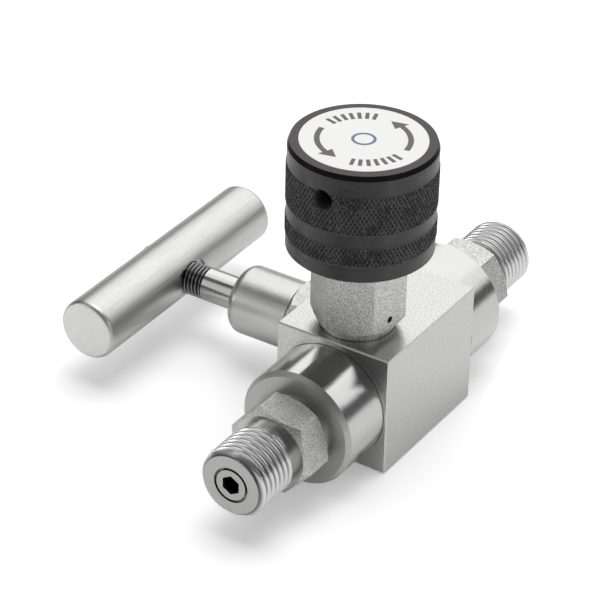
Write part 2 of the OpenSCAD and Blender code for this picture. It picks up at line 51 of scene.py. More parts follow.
# How finely round forms are cut up, and which edges stay sharp
ROUND_STEPS = 96
HOLE_STEPS = 48
FLAT_STEPS = 18
THREAD_STEPS = 16
ARC_STEPS = 24
CORNER_STEPS = 6
SHARP_ANGLE = math.radians(32)
CARVED_SHARP_ANGLE = math.radians(25)
MERGE_DISTANCE = 0.002
CUT_OVER = 1.0
FLAT_SHADING = "Flat faces stay flat"

# Block, port threads and hexes, as the CAD has them
BLOCK_L = 30.2
BLOCK_EDGE = 0.3
COLLAR_CHAMFER = 0.8
PORT_THREAD_D = 13.157
PORT_PITCH = 1.337
PORT_THREAD_DEPTH = 0.8
PORT_THREAD_CHAMFER = 0.9
PORT_RELIEF_D = 11.4
PORT_RELIEF_L = 1.7
PORT_RUNOUT_L = 0.5
PORT_HEX_L = 7.3
PORT_WASHER_D = 13.6
PORT_WASHER_L = 1.2
PORT_BORE_D = 4.0
SPIGOT_D = 12.0
HEX_AF = 15.0
HEX_FACE_D = 14.4
HALF_FLAT = math.radians(30)
HEX_CHAMFER_SLOPE = math.tan(math.radians(38))
HEX_CORNER_BREAK = 0.05
INLET_HEX_TURN = math.radians(36.3)
OUTLET_HEX_TURN = math.radians(17.7)
RESTRICTOR_D = 5.94
RESTRICTOR_L = 7.0
RESTRICTOR_MOUTH_D = 6.9
RESTRICTOR_MOUTH_DEPTH = 1.6
EDGE_BREAK = 0.12
BLEED_WASHER_D = 13.5
THREAD_STEEPNESS = 1.2

# Isolation spindle. Its operating thread, inside the bonnet, stays plain.
SHANK_D = 6.5
STEM_PITCH = 0.8
STEM_THREAD_DEPTH = 0.45
STEM_THREAD_D = 6.4
STEM_THREAD_L = 11.2
STEM_THREAD_CHAMFER = 0.3
SPINDLE_FOOT_D = 4.6
SPINDLE_THREAD_D = 7.4
SPINDLE_THREAD_L = 8.0
SPINDLE_THREAD_Y = 15.0
NEEDLE_NECK_D = 2.28
NEEDLE_HEAD_D = 3.28
SWAGE_L = 0.8
SWAGE_ROOM_L = 1.32

# T-bar
BAR_ROUND = 1.0
BAR_RING_STEP = 1.0
BAR_RING_MARGIN = 0.1
BAR_BORE_D = 6.54
BAR_SINK_D = 8.0
BAR_SINK_DEPTH = 0.73
BAR_SAW_ANGLE = math.radians(50)

# Knob
KNOB_D = 26.4
KNURL_RISE = 0.15
KNURL_DEPTH = 0.36
KNURL_SHALLOW = 0.65
KNURL_RUNOUT = 0.18
KNURL_COUNT = 108
KNURL_ANGLE = math.radians(30)
KNURL_CELLS = 4
BAND_EDGE = 0.05
KNOB_FOOT_H = 3.3
LOWER_KNURL_H = 3.2
WAIST_H = 3.0
UPPER_KNURL_H = 7.2
KNOB_CHAMFER_H = 0.95
KNOB_CHAMFER_W = 0.35
KNOB_HOLLOW_D = 19.0
KNOB_BORE_D = 6.54
HUB_RISE = 11.6
HUB_DEPTH = 6.2
KNOB_GRUB_D = 3.9
KNOB_GRUB_RISE = 3.7
HOLE_PITCH = 0.7
HOLE_THREADS = 7
HOLE_THREAD_DEPTH = 0.25
HOLE_THREAD_START = 0.3
LABEL_RECESS = 0.3
LABEL_SEAT_D = 22.54

# Label print
PRINT_T = 0.015
ARROW_R = 8.1
ARROW_W = 1.0
ARROW_STARTS = (math.radians(95), math.radians(275))
ARROW_SPAN = math.radians(62)
ARROW_HEAD_W = 3.0
ARROW_HEAD_SPAN = math.radians(19)
TICK_COUNT = 7
TICK_STEP = math.radians(9.5)
TICK_START = math.radians(20)
TICK_INNER_R = 7.2
TICK_OUTER_R = 9.4
TICK_W = 0.7
MARK_R = 2.2
MARK_W = 0.55

# Camera, fitted to the photograph: place in the valve's frame, and lens and sensor, in millimetres
CAMERA_PLACE = (-373.742, -217.71, 297.982)
CAMERA_AZIMUTH = math.radians(-57.93)
CAMERA_ELEVATION = math.radians(32.317)
CAMERA_ROLL = math.radians(1.383)
CAMERA_LENS = 170.402
CAMERA_SENSOR = 36.0


def box_mm(node):
    """Lowest and highest corner of a CAD node, in millimetres."""
    low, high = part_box(node)
    return low / MM, high / MM


body_high = box_mm("valve_body")[1]
label_high = box_mm("knob_label")[1]
knob_low, knob_high = box_mm("bleed_knob")
spindle_low, spindle_high = box_mm("isolation_spindle")
adapter_low, adapter_high = box_mm("inlet_adapter")
collar_x = body_high.x
mouth_x = adapter_high.x
flow_z = (adapter_low.z + adapter_high.z) / 2
isolation_x = (spindle_low.x + spindle_high.x) / 2
bleed_x = (knob_low.x + knob_high.x) / 2

PORT_PLACE = {
    1: Matrix.Translation((0, 0, flow_z)) @ Matrix.Rotation(math.pi / 2, 4, "Y"),
    -1: Matrix.Translation((0, 0, flow_z)) @ Matrix.Rotation(-math.pi / 2, 4, "Y"),
}
ISOLATION_PLACE = Matrix.Translation((isolation_x, 0, flow_z)) @ Matrix.Rotation(-math.pi / 2, 4, "X")
BLEED_PLACE = Matrix.Translation((bleed_x, 0, 0))


# Mesh tools

class Skin:
    """A mesh wound round its own Z axis. A row holds a (radius, height) pair for each angle."""

    def __init__(self, angles):
        self.angles = angles
        self.mesh = bmesh.new()

    def row(self, radius, height):
        return [(radius, height)] * len(self.angles)

    def strip(self, rows, material=0, seam_shift=0, diagonal=None):
        """Joins rows in turn. At the seam a row meets the one that is seam_shift rows on."""
        count = len(self.angles)
        grid = [[self.mesh.verts.new((r * math.cos(a), r * math.sin(a), z))
                 for a, (r, z) in zip(self.angles, row)] for row in rows]
        for k in range(len(rows) - 1):
            for j in range(count):
                step = seam_shift if j == count - 1 else 0
                if k + 1 + step >= len(rows):
                    continue
                corners = [grid[k][j], grid[k + step][(j + 1) % count],
                           grid[k + 1 + step][(j + 1) % count], grid[k + 1][j]]
                for face in split(corners, diagonal(j, k) if diagonal else 0):
                    self.mesh.faces.new(face).material_index = material

    def profile(self, points, material=0):
        """Joins plain round rows through (radius, height) points."""
        self.strip([self.row(r, z) for r, z in points], material)

    def finish(self, name, place, materials):
        bmesh.ops.remove_doubles(self.mesh, verts=self.mesh.verts, dist=MERGE_DISTANCE)
        bmesh.ops.recalc_face_normals(self.mesh, faces=self.mesh.faces)
        return solid(name, self.mesh, place, materials)


def split(corners, way):
    """A quad as it is (0), or as two triangles along one diagonal (1) or the other (-1)."""
    a, b, c, d = corners
    if way == 1:
        return [(a, b, c), (a, c, d)]
    if way == -1:
        return [(a, b, d), (b, c, d)]
    return [(a, b, c, d)]


def solid(name, mesh, place, materials):
    """Makes a smooth-shaded object of a bmesh in millimetres, at its place in the valve."""
    bmesh.ops.transform(mesh, matrix=Matrix.Scale(MM, 4) @ place, verts=mesh.verts)
    data = bpy.data.meshes.new(name)
    mesh.to_mesh(data)
    mesh.free()
    for material in materials:
        data.materials.append(material)
    data.shade_smooth()
    data.set_sharp_from_angle(angle=SHARP_ANGLE)
    obj = bpy.data.objects.new(name, data)
    bpy.context.scene.collection.objects.link(obj)
    obj.modifiers.new(FLAT_SHADING, "WEIGHTED_NORMAL").keep_sharp = True
    return obj


def carve(piece, cutter):
    """Cuts one mesh out of another, and deletes the cutter."""
    cut = piece.modifiers.new("Hole", "BOOLEAN")
    cut.object = cutter
    cut.solver = "EXACT"
    piece.modifiers.remove(piece.modifiers[FLAT_SHADING])
    carved = bpy.data.meshes.new_from_object(piece.evaluated_get(bpy.context.evaluated_depsgraph_get()))
    piece.modifiers.clear()
    piece.data = carved
    carved.shade_smooth()
    carved.set_sharp_from_angle(angle=CARVED_SHARP_ANGLE)
    bpy.data.objects.remove(cutter)
    return piece


def even_angles(count):
    return [FULL_TURN * i / count for i in range(count)]


def hex_angles(turn):
    """Angles of a hex's flats, with two close together at each corner."""
    inradius = HEX_AF / 2
    corner_r = inradius / math.cos(HALF_FLAT) - HEX_CORNER_BREAK
    strip = HALF_FLAT - math.acos(inradius / corner_r)
    angles = []
    for k in range(6):
        start = turn + k * 2 * HALF_FLAT + strip
        width = 2 * (HALF_FLAT - strip)
        angles += [start + width * i / FLAT_STEPS for i in range(FLAT_STEPS + 1)]
    return angles


def hex_rows(angles, turn, start, end):
    """Rows of a wrench hex whose corners are turned down to a cone at both ends."""
    face_r = HEX_FACE_D / 2
    radii = []
    for angle in angles:
        off_flat = (angle - turn) % (2 * HALF_FLAT) - HALF_FLAT
        radii.append(HEX_AF / 2 / math.cos(off_flat))
    drops = [(r - face_r) * HEX_CHAMFER_SLOPE for r in radii]
    return [
        [(face_r, start)] * len(angles),
        [(r, start + d) for r, d in zip(radii, drops)],
        [(r, end - d) for r, d in zip(radii, drops)],
        [(face_r, end)] * len(angles),
    ]


def thread_rows(angles, start, end, pitch, depth, crest_r, envelope):
    """Rows that follow a helix, so that crests and roots run along them, cut to an envelope."""
    rows = []
    count = math.ceil((end - start) / pitch * THREAD_STEPS) + 2 * THREAD_STEPS + 2
    base_angle = angles[0]
    for k in range(count):
        base = start + (k / THREAD_STEPS - 1) * pitch
        wave = abs((k / THREAD_STEPS) % 1 * 2 - 1) * 2 - 1
        wave = math.sin(math.pi / 2 * max(-1, min(1, wave * THREAD_STEEPNESS)))
        thread_r = crest_r - depth * (1 - wave) / 2
        row = []
        for angle in angles:
            z = base + pitch * (angle - base_angle) / FULL_TURN
            z = max(start, min(end, z))
            row.append((min(thread_r, envelope(z)), z))
        rows.append(row)
    return rows


def line_through(points):
    """A function that runs straight between (height, radius) points."""
    def radius(z):
        for (z0, r0), (z1, r1) in zip(points, points[1:]):
            if z <= z1:
                return r0 + (r1 - r0) * (z - z0) / (z1 - z0)
        return points[-1][1]
    return radius


# Materials

# Noise scales, in features a metre, and the values between which most of a noise lies
STEEL_CLOUDS = 150.0
ANODISED_CLOUDS = 200.0
DULL_CLOUDS = 400.0
DULL_GRAIN = 4000.0
WEAR_AND_SHEEN_PATCHES = 260.0
WEAR_AND_SHEEN_SPECKS = 2600.0
WEAR_GLOSS = 1500.0
NOISE_MIDDLE = (0.3, 0.7)

# Sizes of lines and grains
TURNING_LINES = 0.12
COLLAR_LINES = 0.24
KNOB_LINES = 0.16
HEX_GRAIN = 0.27
BLOCK_GRAIN = 0.3
BRUSH_LENGTH = 8.0
BRUSH_WIDTH = 0.14
SAW_LENGTH = 10.0
SAW_WIDTH = 0.22

# Depths of lines and grains
TURNED_DEPTH = 0.006
PORT_FACE_DEPTH = 0.012
CAP_DEPTH = 0.02
SOCKET_DEPTH = 0.01
HEX_DEPTH = 0.08
BODY_DEPTH = 0.05
COLLAR_DEPTH_SHARE = 0.35
BAR_DEPTH = 0.022
SAW_DEPTH_SHARE = 0.3
DULL_DEPTH = 0.004
BANDS_DEPTH = 0.08
RIM_DEPTH = 0.01
EDGE_DEPTH = 0.004

# Limits of the regions that a material tells apart
FLAT_MARGIN = 0.02
BAR_END_MARGIN = 0.1
SEAM_REACH = 0.05
SEAM_HALF_W = 0.12
SEAM_DROP = 0.1
THREAD_LIT_DEPTH = 0.25
SOCKET_SHADE_DEPTH = 2.2
SOCKET_LIT_DEPTH = 0.2

# Gloss and tone, from 0 to 1
GLOSS_CHANGE = 0.04
BLASTED_ROUGHNESS = 0.42
BLOCK_ROUGHNESS = 0.25
BLOCK_EDGE_ROUGHNESS = 0.5
COLLAR_ROUGHNESS = 0.18
COLLAR_FACE_ROUGHNESS = 0.4
LINE_TONES = (0.2, 0.8)


def steel_tone(level):
    """A grey that is very slightly warm."""
    return level, level, level - 0.005


STEEL_DARK = steel_tone(0.49)
STEEL_LIGHT = steel_tone(0.58)
STEEL_BLASTED = steel_tone(0.52)
BLASTED_CONTRAST = 0.48
BLOCK_DARK = steel_tone(0.42)
BLOCK_LIGHT = steel_tone(0.63)
# Lighter tone on the block's edges: a painted highlight
BLOCK_EDGE_HIGHLIGHT_TONE = steel_tone(0.64)
COLLAR_FACE_TONE = steel_tone(0.44)
PORT_FACE_DARK = steel_tone(0.4)
PORT_FACE_LIGHT = steel_tone(0.47)
BAR_DARK = steel_tone(0.48)
BAR_LIGHT = steel_tone(0.6)
BAR_END_DARK = steel_tone(0.62)
BAR_END_LIGHT = steel_tone(0.72)
SOCKET_LIGHT = steel_tone(0.42)
# Painted shade deep in the outlet restrictor's hex socket
SOCKET_SHADE = (0.05, 0.05, 0.05)
SCREW_DARK = (0.05, 0.05, 0.055)
SCREW_LIGHT = (0.09, 0.09, 0.095)
# Painted shadow in the seam round the bleed bonnet's foot
SEAM_SHADOW_TONE = (0.03, 0.03, 0.03)
ANODISED_DARK = (0.008, 0.0073, 0.0076)
ANODISED_LIGHT = (0.015, 0.0139, 0.0143)
KNURL_DARK = (0.002, 0.002, 0.002)
KNURL_LIGHT = (0.14, 0.135, 0.135)

# Wear and painted highlight of the knurling: from a full groove to none, by height, then the strength of
# patches and of specks, each with the part of its noise over which it grows
GROOVE_HEIGHTS = (0.3, 0.75)
PATCH_WEAR_AND_SHEEN = (0.4, 1.7, 0.35, 0.65)
SPECK_WEAR_AND_SHEEN = (0.0, 0.9, 0.56, 0.7)
KNURL_ROUGHNESS = (0.4, 0.6)


class Look:
    """A material's node tree, with short ways to add and join nodes."""

    def __init__(self, name):
        self.material = bpy.data.materials.new(name)
        self.material.use_nodes = True
        self.tree = self.material.node_tree
        self.shader = self.tree.nodes["Principled BSDF"]
        self.place = self.node("ShaderNodeTexCoord").outputs["Object"]

    def node(self, kind, inputs=None, **settings):
        node = self.tree.nodes.new(kind)
        for key, value in settings.items():
            setattr(node, key, value)
        for key, value in (inputs or {}).items():
            self.join(value, node.inputs[key])
        return node

    def join(self, value, socket):
        if isinstance(value, bpy.types.NodeSocket):
            self.tree.links.new(value, socket)
        else:
            socket.default_value = value

    def math(self, operation, a, b=0.0):
        return self.node("ShaderNodeMath", {0: a, 1: b}, operation=operation).outputs[0]

    def vector(self, operation, a, b=(0, 0, 0), output="Vector"):
        node = self.node("ShaderNodeVectorMath", {0: a, 1: b}, operation=operation)
        return node.outputs[output]

    def noise(self, vector, scale, detail=2.0, roughness=0.5):
        node = self.node("ShaderNodeTexNoise", {"Vector": vector, "Scale": scale, "Detail": detail,
                                                "Roughness": roughness})
        return node.outputs["Fac"]

    def grain(self, size):
        """Fine noise, rougher than the clouds."""
        return self.noise(self.place, 1 / (size * MM), 2.0, 0.6)

    def streaks(self, vector, lengths):
        """Noise drawn out by a length for each axis. An axis without one doesn't change it."""
        scales = tuple(1 / (length * MM) if length else 0.0 for length in lengths)
        return self.noise(self.vector("MULTIPLY", vector, scales), 1.0, 3.0)

    def turning_lines(self, origin, axis, spacing):
        """Fine rings left by a lathe, on round walls and on end faces alike."""
        path = self.math("ADD", self.along(origin, axis), self.off_axis(origin, axis))
        node = self.node("ShaderNodeTexNoise", {"W": path, "Scale": 1 / (spacing * MM), "Detail": 3.0},
                         noise_dimensions="1D")
        return node.outputs["Fac"]

    def spread(self, value, low, high, start=0.0, end=1.0):
        """Maps a value from start to end onto low to high."""
        node = self.node("ShaderNodeMapRange", {"Value": value, "From Min": start, "From Max": end,
                                                "To Min": low, "To Max": high})
        return node.outputs["Result"]

    def sharpen(self, noise, low=0.0, high=1.0):
        """Maps the middle of a noise, where most of its values lie, onto low to high."""
        return self.spread(noise, low, high, *NOISE_MIDDLE)

    def blend(self, factor, a, b):
        """Mixes two numbers."""
        return self.node("ShaderNodeMix", {0: factor, 2: a, 3: b}, data_type="FLOAT").outputs[0]

    def mix(self, factor, a, b):
        """Mixes two colours, each with its alpha."""
        return self.node("ShaderNodeMix", {0: factor, 6: a, 7: b}, data_type="RGBA").outputs[2]

    def shade(self, factor, dark, light):
        """Mixes two fixed colours."""
        return self.mix(factor, dark + (1,), light + (1,))

    def bump(self, height, depth):
        """Adds a height, as a share of a depth, to the surface."""
        node = self.node("ShaderNodeBump", {"Height": height, "Distance": depth * MM})
        self.join(node.outputs["Normal"], self.shader.inputs["Normal"])

    def set(self, **inputs):
        for key, value in inputs.items():
            self.join(value, self.shader.inputs[key.replace("_", " ")])

    def centred(self, origin):
        return self.vector("SUBTRACT", self.place, tuple(v * MM for v in origin))

    def along(self, origin, axis):
        """Distance along an axis."""
        return self.vector("DOT_PRODUCT", self.centred(origin), axis, "Value")

    def off_axis(self, origin, axis):
        """Distance from an axis."""
        across = self.vector("MULTIPLY", self.centred(origin), tuple(1 - v for v in axis))
        return self.vector("LENGTH", across, output="Value")


def steel(name, roughness, dark=STEEL_DARK, light=STEEL_LIGHT):
    """Bare stainless steel with slow changes of tone and gloss."""
    look = Look(name)
    clouds = look.noise(look.place, STEEL_CLOUDS, 3.0)
    look.set(Metallic=1.0, Base_Color=look.shade(clouds, dark, light),
             Roughness=look.sharpen(clouds, roughness - GLOSS_CHANGE, roughness + GLOSS_CHANGE))
    return look


def blasted_steel():
    """Hexes: a fine grain in both tone and height."""
    look = Look("blasted_steel")
    grains = look.grain(HEX_GRAIN)
    dark = tuple(v * (1 - BLASTED_CONTRAST) for v in STEEL_BLASTED)
    light = tuple(v * (1 + BLASTED_CONTRAST) for v in STEEL_BLASTED)
    look.set(Metallic=1.0, Base_Color=look.shade(look.sharpen(grains), dark, light),
             Roughness=BLASTED_ROUGHNESS)
    look.bump(grains, HEX_DEPTH)
    return look.material


def turned_steel(name, axis, roughness=0.25, depth=TURNED_DEPTH, dark=STEEL_DARK, light=STEEL_LIGHT):
    look = steel(name, roughness, dark, light)
    look.bump(look.turning_lines(*axis, TURNING_LINES), depth)
    return look.material


def thread_steel(name, axis, roughness, root_r, lit_r, root_shade_tone, lit_tone):
    """Steel with painted shade towards the roots of a thread."""
    look = steel(name, roughness)
    bright = look.spread(look.off_axis(*axis), 0.0, 1.0, root_r * MM, lit_r * MM)
    # Painted shade in the thread's roots, the lit tone on its crests
    look.set(Base_Color=look.shade(bright, (root_shade_tone,) * 3, (lit_tone,) * 3))
    look.bump(look.turning_lines(*axis, TURNING_LINES), TURNED_DEPTH)
    return look.material


def socket_steel():
    """Turned steel with a painted shade that deepens down the hex socket."""
    look = steel("socket_steel", roughness=0.3)
    from_middle = look.math("ABSOLUTE", look.along(*PORT_AXIS))
    # Share of the socket wall that is out of the painted shade
    unshaded_share = look.spread(from_middle, 0.0, 1.0, (mouth_x - SOCKET_SHADE_DEPTH) * MM,
                             (mouth_x - SOCKET_LIT_DEPTH) * MM)
    look.set(Base_Color=look.shade(unshaded_share, SOCKET_SHADE, SOCKET_LIGHT))
    look.bump(look.turning_lines(*PORT_AXIS, TURNING_LINES), SOCKET_DEPTH)
    return look.material


def body_steel():
    """Satin block with turned collars, told apart by the distance along the flow axis. Its edges are
    lighter with a painted highlight, and a painted shadow line runs round the seam at the bleed bonnet."""
    look = Look("body_steel")
    from_middle = look.math("ABSOLUTE", look.along(*PORT_AXIS))
    is_collar = look.math("GREATER_THAN", from_middle, (BLOCK_L / 2 + FLAT_MARGIN) * MM)
    is_face = look.math("GREATER_THAN", from_middle, (collar_x - COLLAR_CHAMFER - FLAT_MARGIN) * MM)
    parts = look.node("ShaderNodeSeparateXYZ", {0: look.vector("ABSOLUTE", look.place)}).outputs
    near_sides = [look.math("GREATER_THAN", part, (side - BLOCK_EDGE + FLAT_MARGIN) * MM)
                  for part, side in zip(parts, (BLOCK_L / 2, body_high.y, body_high.z))]
    side_count = look.math("ADD", look.math("ADD", near_sides[0], near_sides[1]), near_sides[2])
    near_two = look.math("GREATER_THAN", side_count, 1.5)
    is_edge = look.math("MULTIPLY", near_two, look.math("SUBTRACT", 1.0, is_collar))
    seam_r = BLEED_WASHER_D / 2 + SEAM_REACH
    off_seam = look.math("ABSOLUTE", look.math("SUBTRACT", look.off_axis(*BLEED_AXIS), seam_r * MM))
    on_top = look.math("GREATER_THAN", look.along(*BLEED_AXIS), (body_high.z - SEAM_DROP) * MM)
    # A painted shadow line round the seam at the bleed bonnet
    is_seam_shadow = look.math("MULTIPLY", look.math("LESS_THAN", off_seam, SEAM_HALF_W * MM), on_top)
    grains = look.grain(BLOCK_GRAIN)
    lines = look.turning_lines(*PORT_AXIS, COLLAR_LINES)
    tone = look.blend(is_collar, look.sharpen(grains), look.spread(lines, *LINE_TONES))
    sides = look.mix(is_face, look.shade(tone, BLOCK_DARK, BLOCK_LIGHT), COLLAR_FACE_TONE + (1,))
    # The lighter edges are a painted highlight
    with_edge_highlights = look.mix(is_edge, sides, BLOCK_EDGE_HIGHLIGHT_TONE + (1,))
    block_roughness = look.blend(is_edge, BLOCK_ROUGHNESS, BLOCK_EDGE_ROUGHNESS)
    collar_roughness = look.blend(is_face, COLLAR_ROUGHNESS, COLLAR_FACE_ROUGHNESS)
    look.set(Metallic=1.0, Base_Color=look.mix(is_seam_shadow, with_edge_highlights, SEAM_SHADOW_TONE + (1,)),
             Roughness=look.blend(is_collar, block_roughness, collar_roughness))
    collar_height = look.math("MULTIPLY", lines, COLLAR_DEPTH_SHARE)
    look.bump(look.blend(is_collar, grains, collar_height), BODY_DEPTH)
    return look.material


def bar_steel():
    """Steel brushed lengthwise, with saw lines across the ends."""
    low, high = box_mm("t_bar")
    look = steel("bar_steel", roughness=0.38)
    from_middle = look.math("ABSOLUTE", look.along(((low.x + high.x) / 2, 0, 0), (1, 0, 0)))
    is_end = look.math("GREATER_THAN", from_middle, ((high.x - low.x) / 2 - BAR_END_MARGIN) * MM)
    brushed = look.streaks(look.place, (BRUSH_LENGTH, BRUSH_WIDTH, BRUSH_WIDTH))
    turned = look.node("ShaderNodeVectorRotate", {"Vector": look.place, "Angle": BAR_SAW_ANGLE},
                       rotation_type="X_AXIS").outputs["Vector"]
    sawn = look.streaks(turned, (None, SAW_LENGTH, SAW_WIDTH))
    side_tone = look.shade(look.sharpen(brushed), BAR_DARK, BAR_LIGHT)
    end_tone = look.shade(look.sharpen(sawn), BAR_END_DARK, BAR_END_LIGHT)
    look.set(Base_Color=look.mix(is_end, side_tone, end_tone))
    saw_height = look.math("MULTIPLY", sawn, SAW_DEPTH_SHARE)
    look.bump(look.blend(is_end, brushed, saw_height), BAR_DEPTH)
    return look.material


def anodised(name, roughness, depth, specular, lift=1.0, ior=1.5):
    """Black anodised aluminium with turning lines. Lift makes it lighter."""
    look = Look(name)
    clouds = look.noise(look.place, ANODISED_CLOUDS, 3.0)
    lines = look.turning_lines(*BLEED_AXIS, KNOB_LINES)
    dark, light = (tuple(v * lift for v in tone) for tone in (ANODISED_DARK, ANODISED_LIGHT))
    look.set(Base_Color=look.shade(lines, dark, light), Specular_IOR_Level=specular, IOR=ior,
             Roughness=look.sharpen(clouds, roughness - GLOSS_CHANGE, roughness + GLOSS_CHANGE))
    look.bump(lines, depth)
    return look.material


def knurl_wear_and_sheen():
    """Black knurling, dull on its diamonds, with wear and painted highlight in lighter patches of its
    grooves and in fine specks.
    """
    look = Look("black_knurl")
    crest_r = KNOB_D / 2 + KNURL_RISE
    root_r = crest_r - KNURL_DEPTH
    height = look.spread(look.off_axis(*BLEED_AXIS), 0.0, 1.0, root_r * MM, crest_r * MM)
    groove = look.spread(height, 1.0, 0.0, *GROOVE_HEIGHTS)
    patches = look.spread(look.noise(look.place, WEAR_AND_SHEEN_PATCHES), *PATCH_WEAR_AND_SHEEN)
    specks = look.spread(look.noise(look.place, WEAR_AND_SHEEN_SPECKS, 1.0), *SPECK_WEAR_AND_SHEEN)
    # Wear and painted highlight: lighter patches in the grooves, and fine specks
    wear_and_sheen = look.math("MINIMUM", 1.0, look.math("ADD", look.math("MULTIPLY", groove, patches), specks))
    look.set(Base_Color=look.shade(wear_and_sheen, KNURL_DARK, KNURL_LIGHT), Specular_IOR_Level=0.25,
             Roughness=look.sharpen(look.noise(look.place, WEAR_GLOSS), *KNURL_ROUGHNESS))
    return look.material


def dull(name, dark, light, roughness):
    """A material that isn't metal, with slight clouds and a fine grain."""
    look = Look(name)
    look.set(Base_Color=look.shade(look.noise(look.place, DULL_CLOUDS, 3.0), dark, light),
             Roughness=roughness)
    look.bump(look.noise(look.place, DULL_GRAIN), DULL_DEPTH)
    return look.material


# Axes that the materials follow: a point, and a direction
PORT_AXIS = ((0, 0, flow_z), (1, 0, 0))
ISOLATION_AXIS = ((isolation_x, 0, flow_z), (0, 1, 0))
BLEED_AXIS = ((bleed_x, 0, 0), (0, 0, 1))

blasted = blasted_steel()
port_turned = turned_steel("port_turned_steel", PORT_AXIS)
port_face = turned_steel("port_face_steel", PORT_AXIS, roughness=0.3, depth=PORT_FACE_DEPTH,
                         dark=PORT_FACE_DARK, light=PORT_FACE_LIGHT)
port_thread = thread_steel("port_thread_steel", PORT_AXIS, roughness=0.28,
                           root_r=PORT_THREAD_D / 2 - PORT_THREAD_DEPTH,
                           lit_r=PORT_THREAD_D / 2 - THREAD_LIT_DEPTH, root_shade_tone=0.15, lit_tone=0.7)
stem_turned = turned_steel("stem_turned_steel", ISOLATION_AXIS, roughness=0.16)
stem_thread = thread_steel("stem_thread_steel", ISOLATION_AXIS, roughness=0.25,
                           root_r=STEM_THREAD_D / 2 - STEM_THREAD_DEPTH,
                           lit_r=STEM_THREAD_D / 2, root_shade_tone=0.06, lit_tone=0.33)
cap_turned = turned_steel("gland_cap_steel", ISOLATION_AXIS, roughness=0.32, depth=CAP_DEPTH)
bleed_turned = turned_steel("bleed_turned_steel", BLEED_AXIS, roughness=0.3)
needle = turned_steel("needle_steel", ISOLATION_AXIS, roughness=0.2)
screw = steel("screw_steel", roughness=0.45, dark=SCREW_DARK, light=SCREW_LIGHT).material
ptfe = dull("ptfe", (0.78, 0.78, 0.75), (0.84, 0.84, 0.81), 0.5)
rubber = dull("seal_rubber", (0.014, 0.014, 0.014), (0.024, 0.024, 0.024), 0.55)
film = dull("label_film", (0.8, 0.8, 0.79), (0.83, 0.83, 0.82), 0.3)
ink = dull("label_ink", (0.075, 0.068, 0.064), (0.09, 0.082, 0.078), 0.4)
blue_ink = dull("label_blue_ink", (0.12, 0.125, 0.25), (0.14, 0.148, 0.27), 0.4)
black_bands = anodised("black_bands", 0.28, BANDS_DEPTH, specular=0.55)
black_knurl = knurl_wear_and_sheen()
black_rim = anodised("black_rim", 0.5, RIM_DEPTH, specular=0.1, lift=8.0)
black_edge = anodised("black_edge", 0.25, EDGE_DEPTH, specular=0.12, ior=1.15)

NODE_MATERIALS = {
    "valve_body": body_steel(),
    "inlet_adapter_seal": ptfe,
    "outlet_adapter_seal": ptfe,
    "outlet_restrictor": socket_steel(),
    "isolation_bonnet": blasted,
    "isolation_bonnet_seal": ptfe,
    "isolation_packing_washer": cap_turned,
    "isolation_packing_rings": ptfe,
    "isolation_gland_bush": cap_turned,
    "isolation_gland_cap": cap_turned,
    "isolation_needle": needle,
    "t_bar_grub_screw": screw,
    "bleed_bonnet": blasted,
    "bleed_bonnet_seal": ptfe,
    "bleed_needle": needle,
    "bleed_spindle": bleed_turned,
    "bleed_o_ring": rubber,
    "bleed_backup_ring": ptfe,
    "bleed_retaining_cap": bleed_turned,
    "knob_grub_screw": screw,
    "knob_label": film,
}
for node, material in NODE_MATERIALS.items():
    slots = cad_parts[node].data.materials
    slots.clear()
    slots.append(material)


# Adapters

ADAPTER_MATERIALS = [blasted, port_turned, port_face, port_thread]
HEX, TURNED, FACE, THREAD = range(4)


def hex_adapter(name, side, turn, bore):
    """Adapter with its helical pipe thread. The bore is (radius, height) points from the mouth in."""
    angles = hex_angles(turn)
    skin = Skin(angles)
    inner_z = box_mm(name)[1].x if side > 0 else -box_mm(name)[0].x
    inner_z -= adapter_high.x - adapter_low.x
    hex_start = collar_x + PORT_WASHER_L
    hex_end = hex_start + PORT_HEX_L
    thread_start = hex_end + PORT_RELIEF_L
    crest_r = PORT_THREAD_D / 2
    relief_r = PORT_RELIEF_D / 2
    face_r = crest_r - PORT_THREAD_CHAMFER
    skin.profile([(bore[-1][0], inner_z), (SPIGOT_D / 2, inner_z), (SPIGOT_D / 2, collar_x),
                  (PORT_WASHER_D / 2, collar_x), (PORT_WASHER_D / 2, hex_start),
                  (HEX_FACE_D / 2, hex_start)], TURNED)
    skin.strip(hex_rows(angles, turn, hex_start, hex_end), HEX)
    skin.profile([(HEX_FACE_D / 2, hex_end), (relief_r, hex_end), (relief_r, thread_start)], TURNED)
    envelope = line_through([(thread_start, relief_r), (thread_start + PORT_RUNOUT_L, crest_r),
                             (mouth_x - PORT_THREAD_CHAMFER, crest_r), (mouth_x, face_r)])
    rows = thread_rows(angles, thread_start, mouth_x, PORT_PITCH, PORT_THREAD_DEPTH, crest_r, envelope)
    skin.strip(rows, THREAD, seam_shift=THREAD_STEPS)
    skin.profile([(face_r, mouth_x)] + bore + [(bore[-1][0], inner_z)], FACE)
    piece = skin.finish(name + "_threaded", PORT_PLACE[side], ADAPTER_MATERIALS)
    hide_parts(name)
    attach(piece, "valve")


bore_r = PORT_BORE_D / 2
screw_r = RESTRICTOR_D / 2
gap_r = RESTRICTOR_MOUTH_D / 2
gap_end = mouth_x - RESTRICTOR_MOUTH_DEPTH
screw_end = mouth_x - RESTRICTOR_L
hex_adapter("inlet_adapter", 1, INLET_HEX_TURN,
            [(bore_r + EDGE_BREAK, mouth_x), (bore_r, mouth_x - EDGE_BREAK)])
hex_adapter("outlet_adapter", -1, OUTLET_HEX_TURN,
            [(gap_r, mouth_x), (gap_r, gap_end), (screw_r, gap_end), (screw_r, screw_end),
             (bore_r, screw_end)])


# Isolation spindle and T-bar

